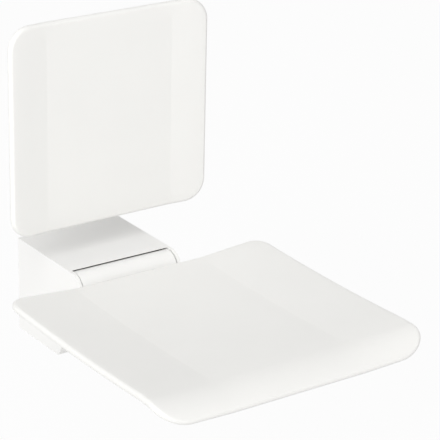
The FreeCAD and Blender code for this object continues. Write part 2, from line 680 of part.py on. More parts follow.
def is_back_side(face):
    return abs(middle_normal(face).y) < 0.8


def make_seat_panel():
    """The seat panel: flat middle, two raised wings, a lip at the front, and bosses for its inserts."""
    edge = seat_section(-SEAT_W / 2, WING_RISE, WING_LIP_LAG)
    crease = seat_section(-CREASE_X, 0, 0)
    plan = seat_plan()
    wing = Part.makeLoft([edge, crease], True, True).common(plan)
    middle = Part.Face(crease).extrude(V(2 * CREASE_X, 0, 0)).common(plan)
    panel = wing.fuse(middle).fuse(wing.mirror(V(0, 0, 0), X_AXIS)).removeSplitter()
    panel = round_rims(panel, is_seat_side, PANEL_EDGE_R)
    boss_h = CARRIER_BELOW_DECK - SEAT_REAR_DROP - PANEL_T
    for at in seat_screw_places():
        panel = panel.fuse(Part.makeCylinder(BOSS_R, boss_h, at, Z_AXIS))
    for at in seat_screw_places():
        panel = panel.cut(Part.makeCylinder(INSERT_R, INSERT_L + INSERT_SET_IN, at, Z_AXIS))
    return panel.removeSplitter()


def seat_screw_places():
    """Points on the carrier's top under each boss of the seat panel."""
    return [V(x, AXIS.y - d, CARRIER_TOP_Z) for d in SEAT_BOSS_L for x in (-SEAT_BOSS_X, SEAT_BOSS_X)]


def insert_along(at, direction):
    """A threaded insert with its mouth at a place, going in along a direction."""
    body = Part.makeCylinder(INSERT_R, INSERT_L, at + direction * INSERT_SET_IN, direction)
    return body.cut(Part.makeCylinder(INSERT_BORE_R, INSERT_L + 1, at, direction))


def screw_along(under_head, direction):
    """A socket screw whose head bears at a place and whose shank goes along a direction."""
    head = Part.makeCylinder(SCREW_HEAD_R, SCREW_HEAD_H, under_head, direction * -1)
    crown = [e for e in head.Edges if e.Closed and abs((e.CenterOfMass - under_head).dot(direction)) > 1]
    head = head.makeFillet(0.8, crown)
    top = under_head - direction * SCREW_HEAD_H
    return head.cut(Part.makeCylinder(SOCKET_R, SOCKET_DEPTH, top, direction))


def make_seat_screws():
    screws = []
    for at in seat_screw_places():
        seat = at - Z_AXIS * (CARRIER_T + WASHER_T)
        shank = Part.makeCylinder(SCREW_R, CARRIER_T + WASHER_T + SCREW_BITE, seat, Z_AXIS)
        screws.append(screw_along(seat, Z_AXIS).fuse(shank).removeSplitter())
    return Part.makeCompound(screws)


def make_seat_washers():
    washers = []
    for at in seat_screw_places():
        low = at - Z_AXIS * (CARRIER_T + WASHER_T)
        ring = Part.makeCylinder(WASHER_R, WASHER_T, low, Z_AXIS)
        washers.append(ring.cut(Part.makeCylinder(SCREW_HOLE_R, WASHER_T + 2, low - Z_AXIS, Z_AXIS)))
    return Part.makeCompound(washers)


def make_seat_inserts():
    return Part.makeCompound([insert_along(at, Z_AXIS) for at in seat_screw_places()])


def make_backrest_panel():
    """The backrest panel: flat middle and two wings turned forward, with bosses on its back."""
    w = BACK_W / 2 + PANEL_T
    angle = math.radians(BACK_WING_ANGLE)
    reach = (w - BACK_CREASE_X) * math.tan(angle)
    mitre = PANEL_T * math.tan(angle / 2)
    front = [(-w, -BACK_FRONT_Y - reach), (-BACK_CREASE_X, -BACK_FRONT_Y),
             (BACK_CREASE_X, -BACK_FRONT_Y), (w, -BACK_FRONT_Y - reach)]
    back_y = -BACK_FRONT_Y + PANEL_T
    end = (w + PANEL_T * math.sin(angle), -BACK_FRONT_Y - reach + PANEL_T * math.cos(angle))
    back = [end, (BACK_CREASE_X + mitre, back_y), (-BACK_CREASE_X - mitre, back_y), (-end[0], end[1])]
    z0 = BACK_CENTRE_Z - BACK_H
    wire = Part.makePolygon([V(x, y, z0) for x, y in front + back + front[:1]])
    sheet = Part.Face(wire).extrude(V(0, 0, 2 * BACK_H))
    centre = V(0, -BACK_FRONT_Y - 3 * PANEL_T, BACK_CENTRE_Z)
    outline = rounded_plate(BACK_W, BACK_H, BACK_CORNER_R, 5 * PANEL_T, centre, Y_AXIS)
    panel = sheet.common(outline)
    panel = round_rims(panel, is_back_side, PANEL_EDGE_R)
    for at in back_screw_places():
        panel = panel.fuse(Part.makeCylinder(BACK_BOSS_R, BACK_BOSS_L, at, Y_AXIS * -1))
    for at in back_screw_places():
        panel = panel.cut(Part.makeCylinder(INSERT_R, BACK_INSERT_L + INSERT_SET_IN, at, Y_AXIS * -1))
    return panel.removeSplitter()


def back_screw_places():
    """Points on the front of the bracket's front plate, one per backrest screw."""
    return [V(x, -BRACKET_FRONT_Y, BACK_CENTRE_Z + z)
            for z in (-BACK_BOSS_DZ / 2, BACK_BOSS_DZ / 2) for x in (-BACK_BOSS_X, BACK_BOSS_X)]


def make_backrest_inserts():
    inserts = []
    for at in back_screw_places():
        body = Part.makeCylinder(INSERT_R, BACK_INSERT_L, at - Y_AXIS * INSERT_SET_IN, Y_AXIS * -1)
        inserts.append(body.cut(Part.makeCylinder(INSERT_BORE_R, BACK_INSERT_L + 1, at, Y_AXIS * -1)))
    return Part.makeCompound(inserts)


def make_backrest_screws():
    screws = []
    for at in back_screw_places():
        seat = at + Y_AXIS * BRACKET_T
        shank = Part.makeCylinder(SCREW_R, BRACKET_T + BACK_INSERT_L - 1, seat, Y_AXIS * -1)
        screws.append(screw_along(seat, Y_AXIS * -1).fuse(shank).removeSplitter())
    return Part.makeCompound(screws)


def make_backrest_bracket():
    """A welded bracket: wall plate, two webs and a front plate, with tabs for the cover screws."""
    z = BACK_CENTRE_Z
    wall = rounded_plate(BRACKET_PLATE_W, BRACKET_PLATE_H, 6, BRACKET_T, V(0, -BRACKET_T, z), Y_AXIS)
    front = rounded_plate(BRACKET_FRONT_W, BRACKET_FRONT_H, 10, BRACKET_T, V(0, -BRACKET_FRONT_Y, z), Y_AXIS)
    bracket = wall.fuse(front)
    h = BRACKET_WEB_H / 2
    for x in (-1, 1):
        outer = x * BRACKET_WEB_X
        x0 = min(outer, outer - x * BRACKET_T)
        web = extrude_yz([(-BRACKET_T, z - h - BRACKET_WEB_FLARE), (-BRACKET_FRONT_Y + BRACKET_T, z - h),
                          (-BRACKET_FRONT_Y + BRACKET_T, z + h), (-BRACKET_T, z + h)], x0, x0 + BRACKET_T)
        bracket = bracket.fuse(web)
    for up in (-1, 1):
        bracket = bracket.fuse(cover_tab(0, z + up * BRACKET_PLATE_H / 2, up, BRACKET_T))
        for x in (-1, 1):
            at = V(x * BACK_HOLE_DX / 2, -BRACKET_T - 1, z + up * BACK_HOLE_DZ / 2)
            bracket = bracket.cut(Part.makeCylinder(BACK_HOLE_R, BRACKET_T + 2, at, Y_AXIS))
    for at in back_screw_places():
        bracket = bracket.cut(Part.makeCylinder(SCREW_HOLE_R, BRACKET_T + 2, at - Y_AXIS, Y_AXIS))
    return bracket.removeSplitter()


def make_backrest_cover():
    """The white sleeve round the backrest bracket, from the wall to just behind the panel."""
    depth = BACK_FRONT_Y - PANEL_T - BACK_COVER_TO_PANEL
    centre = V(0, -depth, BACK_CENTRE_Z)
    outer = rounded_plate(BACK_COVER_W, BACK_COVER_H, BACK_COVER_R, depth, centre, Y_AXIS)
    t = 2 * BACK_COVER_T
    inner = rounded_plate(BACK_COVER_W - t, BACK_COVER_H - t, BACK_COVER_R - BACK_COVER_T, depth + 2,
                          centre - Y_AXIS, Y_AXIS)
    cover = outer.cut(inner)
    for up in (-1, 1):
        at = V(0, -BRACKET_T - TAB_L / 2, BACK_CENTRE_Z + up * (BACK_COVER_H / 2 + 1))
        cover = cover.cut(Part.makeCylinder(COVER_SCREW_HOLE_R, 2 * BACK_COVER_T, at, Z_AXIS * -up))
    return cover.removeSplitter()


def cover_screw(at, inward):
    """A small domed screw whose head lies on a cover at a place and whose shank goes inward."""
    head = Part.makeCylinder(COVER_SCREW_HEAD_R, COVER_SCREW_HEAD_H, at, inward * -1)
    crown = [e for e in head.Edges if e.Closed and abs((e.CenterOfMass - at).dot(inward)) > 1]
    head = head.makeFillet(1.2, crown)
    shank = Part.makeCylinder(COVER_SCREW_R, COVER_SCREW_L, at, inward)
    socket = Part.makeCylinder(SMALL_SOCKET_R, SMALL_SOCKET_R, at - inward * COVER_SCREW_HEAD_H, inward)
    return head.fuse(shank).cut(socket).removeSplitter()


def make_housing_cover_screws():
    places = [V(x * WALL_HOLE_DX / 2, -TAB_Y, -DECK_Z) for x in (-1, 1)]
    return Part.makeCompound([cover_screw(at, Z_AXIS) for at in places])


def make_backrest_cover_screws():
    screws = []
    for up in (-1, 1):
        at = V(0, -BRACKET_T - TAB_L / 2, BACK_CENTRE_Z + up * BACK_COVER_H / 2)
        screws.append(cover_screw(at, Z_AXIS * -up))
    return Part.makeCompound(screws)


def main():
    os.makedirs("parts", exist_ok=True)
    export("wall_plate", make_wall_plate())
    export("housing_cover", make_housing_cover())
    export("housing_cover_screws", make_housing_cover_screws())
    export("stop_bar", stop_bar_solid())
    export("stop_pads", make_stop_pads())
    export("upright_stop_rod", make_upright_stop_rod())
    export("axle", make_axle())
    export("axle_set_screws", make_axle_set_screws())
    for name, side in SIDES:
        export("bearing_arm_" + name, make_bearing_arm(side))
        export("bush_" + name, make_bush(side))
        export("friction_disc_" + name, make_friction_disc(side))
        export("pressure_washer_" + name, make_pressure_washer(side))
        export("disc_spring_" + name, make_disc_spring(side))
    export("seat_carrier", make_seat_carrier())
    export("barrel_cover_upper", make_barrel_cover_upper())
    export("barrel_cover_lower", make_barrel_cover_lower())
    export("barrel_cover_screws", make_barrel_cover_screws())
    export("seat_panel", make_seat_panel())
    export("seat_inserts", make_seat_inserts())
    export("seat_screws", make_seat_screws())
    export("seat_washers", make_seat_washers())
    export("backrest_panel", make_backrest_panel())
    export("backrest_inserts", make_backrest_inserts())
    export("backrest_screws", make_backrest_screws())
    export("backrest_bracket", make_backrest_bracket())
    export("backrest_cover", make_backrest_cover())
    export("backrest_cover_screws", make_backrest_cover_screws())


main()
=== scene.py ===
"""Fold down wall seat: the pieces that are seen, their finishes, the studio and the camera.

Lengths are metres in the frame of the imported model: the wall is Y = 0, the seat stands out
towards -Y, +Z is up, and the origin is the centre of the console's wall holes.
"""

import json
import logging
import math
from dataclasses import dataclass, field
from enum import Enum

import bmesh
import bpy
from mathutils import Matrix, Vector


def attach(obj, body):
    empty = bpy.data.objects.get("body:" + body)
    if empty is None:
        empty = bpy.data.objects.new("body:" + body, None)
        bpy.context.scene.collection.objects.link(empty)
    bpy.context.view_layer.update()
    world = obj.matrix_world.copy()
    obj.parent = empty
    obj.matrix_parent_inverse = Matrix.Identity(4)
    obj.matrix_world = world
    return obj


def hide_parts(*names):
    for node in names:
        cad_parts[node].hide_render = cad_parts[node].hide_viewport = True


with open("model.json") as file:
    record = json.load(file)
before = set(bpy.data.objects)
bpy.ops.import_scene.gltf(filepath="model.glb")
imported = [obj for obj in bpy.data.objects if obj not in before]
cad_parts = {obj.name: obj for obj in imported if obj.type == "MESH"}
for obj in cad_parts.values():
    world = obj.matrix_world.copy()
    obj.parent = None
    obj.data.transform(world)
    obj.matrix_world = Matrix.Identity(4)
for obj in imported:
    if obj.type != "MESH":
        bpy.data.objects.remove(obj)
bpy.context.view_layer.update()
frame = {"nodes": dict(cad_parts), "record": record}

LOG = logging.getLogger("wall_seat")
DECK_Z = 0.076  # the console's flat top
NEAR = 1e-5  # places closer than this are the same
CORNER_SEGMENTS = 18
EDGE_SEGMENTS = 7
BOSS_SEGMENTS = 64
BOSS_EASE = 0.0006
PANEL_SHARP_DEG = 60.0
SENSOR_MM = 36.0


# ------- helpers for meshes


def finished_object(name: str, bm: bmesh.types.BMesh, sharp_deg: float = 32.0) -> bpy.types.Object:
    """Turns a finished bmesh into a smooth shaded object at the origin.

    Args:
        name: the piece's name.
        bm: the mesh, which is freed.
        sharp_deg: edges that turn more than this are shown sharp.

    Returns:
        The new object, linked to the scene.
    """
    limit = math.radians(sharp_deg)
    for edge in bm.edges:
        if len(edge.link_faces) == 2 and edge.calc_face_angle(0.0) > limit:
            edge.smooth = False
    for face in bm.faces:
        face.smooth = True
    mesh = bpy.data.meshes.new(name)
    bm.to_mesh(mesh)
    bm.free()
    piece = bpy.data.objects.new(name, mesh)
    bpy.context.scene.collection.objects.link(piece)
    return piece


def closed(bm: bmesh.types.BMesh) -> None:
    """Merges doubles and points every face outwards.

    Args:
        bm: the mesh to tidy.
    """
    bmesh.ops.remove_doubles(bm, verts=bm.verts[:], dist=1e-6)
    bmesh.ops.recalc_face_normals(bm, faces=bm.faces[:])


def raise_face(bm: bmesh.types.BMesh, face: bmesh.types.BMFace, step: Vector) -> None:
    """Pulls a solid up from one flat face.

    Args:
        bm: the mesh that holds the face.
        face: the face that becomes the solid's far side.
        step: how far and which way it is pulled.
    """
    pulled = bmesh.ops.extrude_face_region(bm, geom=[face], use_keep_orig=True)
    verts = [item for item in pulled["geom"] if isinstance(item, bmesh.types.BMVert)]
    bmesh.ops.translate(bm, verts=verts, vec=step)
    closed(bm)


def cut_across(bm: bmesh.types.BMesh, axis: Vector, places: list[float]) -> None:
    """Divides a mesh with planes square to an axis.

    Args:
        bm: the mesh to divide.
        axis: the planes' normal.
        places: the planes' distances along the axis.
    """
    for place in places:
        geom = bm.verts[:] + bm.edges[:] + bm.faces[:]
        bmesh.ops.bisect_plane(bm, geom=geom, plane_co=axis * place, plane_no=axis, dist=1e-7)


def spread(low: float, high: float, step: float) -> list[float]:
    """Evenly spaced places between two ends, without the ends.

    Args:
        low: the first end.
        high: the last end.
        step: the largest distance between neighbours.

    Returns:
        The places in rising order.
    """
    count = max(1, math.ceil((high - low) / step))
    return [low + (high - low) * i / count for i in range(1, count)]


def boss(bm: bmesh.types.BMesh, place: Vector, direction: Vector, radius: float, height: float) -> None:
    """Adds a round boss with an eased rim.

    Args:
        bm: the mesh that gets the boss.
        place: the centre of its free end.
        direction: the way the boss points.
        radius: its radius.
        height: its height, part of which may be inside the panel.
    """
    turn = direction.to_track_quat("Z", "Y").to_matrix().to_4x4()
    where = Matrix.Translation(place - direction * height / 2) @ turn
    made = bmesh.ops.create_cone(
        bm, cap_ends=True, segments=BOSS_SEGMENTS, radius1=radius, radius2=radius, depth=height, matrix=where
    )
    rim = [
        edge
        for edge in {e for v in made["verts"] for e in v.link_edges}
        if all(abs((v.co - place).dot(direction)) < NEAR for v in edge.verts)
    ]
    bmesh.ops.bevel(
        bm, geom=rim, offset=BOSS_EASE, segments=3, profile=0.5, affect="EDGES", material=-1
    )


def rounded_sheet(
    size: tuple[float, float, float], middle_y: float, corners: tuple[float, float], edge_round: float
) -> bmesh.types.BMesh:
    """Makes a flat sheet with round corners and full round edges, its top at Z = 0.

    Args:
        size: its width, length and thickness.
        middle_y: where its middle lies along Y.
        corners: the corner radii at its +Y end and at its -Y end.
        edge_round: the radius of its edges.

    Returns:
        The mesh.
    """
    width, length, thickness = size
    bm = bmesh.new()
    bmesh.ops.create_grid(bm, x_segments=1, y_segments=1, size=0.5)
    bmesh.ops.scale(bm, verts=bm.verts[:], vec=(width, length, 1.0))
    bmesh.ops.translate(bm, verts=bm.verts[:], vec=(0.0, middle_y, 0.0))
    for end, radius in zip((middle_y + length / 2, middle_y - length / 2), corners):
        tips = [
            v
            for v in bm.verts
            if abs(v.co.y - end) < NEAR and abs(abs(v.co.x) - width / 2) < NEAR
        ]
        bmesh.ops.bevel(
            bm, geom=tips, offset=radius, segments=CORNER_SEGMENTS, profile=0.5,
            affect="VERTICES", material=-1,
        )
    raise_face(bm, next(iter(bm.faces)), Vector((0.0, 0.0, -thickness)))
    rims = [e for e in bm.edges if abs(e.verts[0].co.z - e.verts[1].co.z) < NEAR]
    bmesh.ops.bevel(
        bm, geom=rims, offset=edge_round, segments=EDGE_SEGMENTS, profile=0.5,
        affect="EDGES", material=-1,
    )
    return bm


def cut_columns(
    bm: bmesh.types.BMesh, crease_x: float, half: float, steps: tuple[float, float]
) -> None:
    """Divides a panel across its width, with cuts at its middle and at both creases.

    Args:
        bm: the panel's mesh.
        crease_x: how far the creases are from the middle.
        half: half the panel's width.
        steps: the widest column between the creases, and in the wings.
    """
    inner, outer = steps
    across = [crease_x, *spread(crease_x, half, outer), *spread(0.0, crease_x, inner)]
    cut_across(bm, Vector((1.0, 0.0, 0.0)), [0.0, *across, *(-x for x in across)])


def fold_lines(
    bm: bmesh.types.BMesh, crease_x: float, thickness: float
) -> list[bmesh.types.BMEdge]:
    """Finds the edges along both creases on the two faces of a flat panel.

    Args:
        bm: the panel's mesh, still flat.
        crease_x: how far the creases are from the middle.
        thickness: the panel's thickness.

    Returns:
        The edges.
    """
    return [
        e
        for e in bm.edges
        if all(abs(abs(v.co.x) - crease_x) < NEAR for v in e.verts)
        and all(v.co.z > -NEAR or v.co.z < NEAR - thickness for v in e.verts)
    ]


# ------- finishes


class Texture(Enum):
    """The fine relief of a finish."""

    MOULDED = "moulded"
    POWDER = "powder coated"
    ZINC = "zinc plated"
    BRUSHED = "brushed"
    GROUND = "ground"
    DENSE = "dense lining"
    RUBBER = "moulded rubber"
    KNURLED = "knurled"


@dataclass(frozen=True)
class Finish:
    """A surface finish.

    Args:
        slot: the record's material slot that it belongs to.
        colour: base colour, linear.
        roughness: mean roughness.
        texture: the kind of relief.
        metal: 1 for bare metal.
        specular: how strongly a non-metal reflects.
        tone: how much the colour varies, as a share.
        relief: depth of the bump.
    """

    slot: str
    colour: tuple[float, float, float]
    roughness: float
    texture: Texture
    metal: float = 0.0
    specular: float = 0.5
    tone: float = 0.02
    relief: float = 0.05

    def material(self) -> bpy.types.Material:
        """Makes the node material, or takes the one that was made before.

        Returns:
            The material.
        """
        name = "finish_" + self.slot
        made = bpy.data.materials.get(name)
        if made is None:
            made = FinishNodes(name, self).build()
        return made


class FinishNodes:
    """Builds the shader nodes of one finish."""

    def __init__(self, name: str, finish: Finish) -> None:
        """Starts an empty node material.

        Args:
            name: the material's name.
            finish: the finish to build.
        """
        self.finish = finish
        self.material = bpy.data.materials.new(name)
        self.material.use_nodes = True
        self.tree = self.material.node_tree
        self.tree.nodes.clear()
        self.coords = self.tree.nodes.new("ShaderNodeTexCoord")

    def link(self, source: bpy.types.NodeSocket, target: bpy.types.NodeSocket) -> None:
        """Joins two sockets.

        Args:
            source: the output socket.
            target: the input socket.
        """
        self.tree.links.new(source, target)

    def stretched(self, scale: tuple[float, float, float]) -> bpy.types.NodeSocket:
        """Object coordinates with a scale of their own along each axis.

        Args:
            scale: the factors along X, Y and Z.

        Returns:
            The vector socket.
        """
        node = self.tree.nodes.new("ShaderNodeMapping")
        node.inputs["Scale"].default_value = scale
        self.link(self.coords.outputs["Object"], node.inputs["Vector"])
        return node.outputs["Vector"]

    def noise(
        self,
        scale: float,
        detail: float = 3.0,
        stretch: tuple[float, float, float] = (1.0, 1.0, 1.0),
    ) -> bpy.types.NodeSocket:
        """A cloud of noise.

        Args:
            scale: how many features there are in a metre.
            detail: how many finer layers it has.
            stretch: scale along each axis.

        Returns:
            The factor socket.
        """
        node = self.tree.nodes.new("ShaderNodeTexNoise")
        node.inputs["Scale"].default_value = scale
        node.inputs["Detail"].default_value = detail
        self.link(self.stretched(stretch), node.inputs["Vector"])
        return node.outputs["Fac"]

    def cells(self, scale: float) -> bpy.types.NodeSocket:
        """A pattern of scattered cells.

        Args:
            scale: how many cells there are in a metre.

        Returns:
            The distance socket.
        """
        node = self.tree.nodes.new("ShaderNodeTexVoronoi")
        node.inputs["Scale"].default_value = scale
        self.link(self.stretched((1.0, 1.0, 1.0)), node.inputs["Vector"])
        return node.outputs["Distance"]

    def rings(self, scale: float, direction: str) -> bpy.types.NodeSocket:
        """Fine parallel bands.

        Args:
            scale: how many bands there are in a metre.
            direction: X, Y, Z or DIAGONAL.

        Returns:
            The factor socket.
        """
        node = self.tree.nodes.new("ShaderNodeTexWave")
        node.bands_direction = direction
        node.inputs["Scale"].default_value = scale
        node.inputs["Distortion"].default_value = 1.5
        self.link(self.stretched((1.0, 1.0, 1.0)), node.inputs["Vector"])
        return node.outputs["Fac"]

    def ranged(self, source: bpy.types.NodeSocket, low: float, high: float) -> bpy.types.NodeSocket:
        """Maps a factor from 0.3..0.7 to a range.

        Args:
            source: the factor.
            low: the result at 0.3.
            high: the result at 0.7.

        Returns:
            The mapped socket.
        """
        node = self.tree.nodes.new("ShaderNodeMapRange")
        node.inputs["From Min"].default_value = 0.3
        node.inputs["From Max"].default_value = 0.7
        node.inputs["To Min"].default_value = low
        node.inputs["To Max"].default_value = high
        self.link(source, node.inputs["Value"])
        return node.outputs["Result"]

    def shades(self, source: bpy.types.NodeSocket) -> bpy.types.NodeSocket:
        """A ramp between a slightly darker and a slightly lighter tone of the base colour.

        Args:
            source: the factor.

        Returns:
            The colour socket.
        """
        ramp = self.tree.nodes.new("ShaderNodeValToRGB")
        tone = self.finish.tone
        stops = ((0.32, 1.0 - tone), (0.68, 1.0 + tone))
        for element, (place, share) in zip(ramp.color_ramp.elements, stops):
            element.position = place
            element.color = (*(min(1.0, c * share) for c in self.finish.colour), 1.0)
        self.link(source, ramp.inputs["Fac"])
        return ramp.outputs["Color"]

    def bump(
        self,
        height: bpy.types.NodeSocket,
        strength: float,
        distance: float,
        under: bpy.types.NodeSocket | None = None,
    ) -> bpy.types.NodeSocket:
        """A bump layer, on top of another if one is given.

        Args:
            height: the relief.
            strength: its strength.
            distance: its depth in metres.
            under: the normal of the layer below.

        Returns:
            The normal socket.
        """
        node = self.tree.nodes.new("ShaderNodeBump")
        node.inputs["Strength"].default_value = strength
        node.inputs["Distance"].default_value = distance
        self.link(height, node.inputs["Height"])
        if under is not None:
            self.link(under, node.inputs["Normal"])
        return node.outputs["Normal"]

    def relief(self) -> bpy.types.NodeSocket:
        """The fine relief of this finish.

        Returns:
            The normal socket.
        """
        strength = self.finish.relief
        match self.finish.texture:
            case Texture.MOULDED:
                swell = self.bump(self.noise(55.0, 1.0), strength, 0.0004)
                return self.bump(self.noise(1400.0, 2.0), strength * 0.6, 0.0001, swell)
            case Texture.POWDER:
                peel = self.bump(self.noise(420.0, 2.0), strength, 0.0003)
                return self.bump(self.cells(2600.0), strength * 0.5, 0.0001, peel)
            case Texture.ZINC:
                return self.bump(self.noise(700.0, 4.0), strength, 0.0002)
            case Texture.BRUSHED:
                return self.bump(self.noise(900.0, 3.0, (0.04, 1.0, 1.0)), strength, 0.0001)
            case Texture.GROUND:
                return self.bump(self.rings(1800.0, "X"), strength, 0.00005)
            case Texture.DENSE:
                return self.bump(self.noise(1500.0, 6.0), strength, 0.0003)
            case Texture.RUBBER:
                return self.bump(self.cells(1800.0), strength, 0.0002)
            case Texture.KNURLED:
                first = self.bump(self.rings(700.0, "DIAGONAL"), strength, 0.0003)
                return self.bump(self.rings(900.0, "Z"), strength, 0.0002, first)

    def build(self) -> bpy.types.Material:
        """Wires the shader.

        Returns:
            The finished material.
        """
        shader = self.tree.nodes.new("ShaderNodeBsdfPrincipled")
        output = self.tree.nodes.new("ShaderNodeOutputMaterial")
        clouds = self.noise(9.0, 4.0)
        if self.finish.texture is Texture.ZINC:
            clouds = self.cells(160.0)
        rough = self.finish.roughness
        self.link(self.shades(clouds), shader.inputs["Base Color"])
        varied = self.ranged(self.noise(38.0, 5.0), rough * 0.88, rough * 1.14)
        self.link(varied, shader.inputs["Roughness"])
        self.link(self.relief(), shader.inputs["Normal"])
        shader.inputs["Metallic"].default_value = self.finish.metal
        shader.inputs["Specular IOR Level"].default_value = self.finish.specular
        self.link(shader.outputs["BSDF"], output.inputs["Surface"])
        return self.material


SEAT_SHELL = Finish(
    "seat_shell", (0.905, 0.900, 0.878), 0.50, Texture.MOULDED,
    specular=0.30, tone=0.006, relief=0.05,
)
COVER_SHELL = Finish(
    "cover_shell", (0.922, 0.918, 0.902), 0.42, Texture.MOULDED,
    specular=0.35, tone=0.006, relief=0.06,
)
COATED_CASTING = Finish(
    "coated_casting", (0.86, 0.86, 0.84), 0.46, Texture.POWDER,
    tone=0.015, relief=0.25,
)
ZINC_STEEL = Finish(
    "zinc_steel", (0.66, 0.67, 0.68), 0.42, Texture.ZINC,
    metal=1.0, tone=0.05, relief=0.10,
)
STAINLESS = Finish(
    "stainless", (0.60, 0.60, 0.60), 0.30, Texture.BRUSHED,
    metal=1.0, tone=0.05, relief=0.12,
)
AXLE_STEEL = Finish(
    "axle_steel", (0.70, 0.70, 0.71), 0.16, Texture.GROUND,
    metal=1.0, tone=0.03, relief=0.08,
)
BUSH_BRONZE = Finish(
    "bush_bronze", (0.55, 0.36, 0.17), 0.34, Texture.GROUND,
    metal=1.0, tone=0.10, relief=0.08,
)
BRAKE_LINING = Finish(
    "brake_lining", (0.045, 0.040, 0.036), 0.72, Texture.DENSE,
    tone=0.35, relief=0.35,
)
SPRING_STEEL = Finish(
    "spring_steel", (0.22, 0.22, 0.23), 0.33, Texture.BRUSHED,
    metal=1.0, tone=0.12, relief=0.10,
)
PAD_RUBBER = Finish(
    "pad_rubber", (0.022, 0.022, 0.023), 0.62, Texture.RUBBER,
    tone=0.15, relief=0.30,
)
INSERT_BRASS = Finish(
    "insert_brass", (0.62, 0.44, 0.17), 0.30, Texture.KNURLED,
    metal=1.0, tone=0.06, relief=0.35,
)
FINISHES = (
    SEAT_SHELL, COVER_SHELL, COATED_CASTING, ZINC_STEEL, STAINLESS, AXLE_STEEL,
    BUSH_BRONZE, BRAKE_LINING, SPRING_STEEL, PAD_RUBBER, INSERT_BRASS,
)


def dress(piece: bpy.types.Object, finish: Finish) -> None:
    """Gives a piece one finish.

    Args:
        piece: the object to dress.
        finish: its finish.
    """
    piece.data.materials.clear()
    piece.data.materials.append(finish.material())


# ------- the seat


@dataclass(frozen=True)
class Arc:
    """An arc of a section in the (y, z) plane.

    Args:
        centre: its centre.
        radius: its radius.
        start: the angle of its rear end.
        turn: the angle that it turns through, negative if clockwise.
    """

    centre: Vector
    radius: float
    start: float
    turn: float

    def length(self) -> float:
        """The arc's length."""
        return self.radius * abs(self.turn)

    def outward(self, share: float) -> Vector:
        """The direction away from the centre.

        Args:
            share: the share of the arc, 0 at its rear end and 1 at its front end.

        Returns:
            The (y, z) direction.
        """
        angle = self.start + share * self.turn
        return Vector((math.cos(angle), math.sin(angle)))

    def point(self, share: float) -> Vector:
        """A point of the arc.

        Args:
            share: the share of the arc, 0 at its rear end and 1 at its front end.

        Returns:
            The (y, z) point.
        """
        return self.centre + self.outward(share) * self.radius


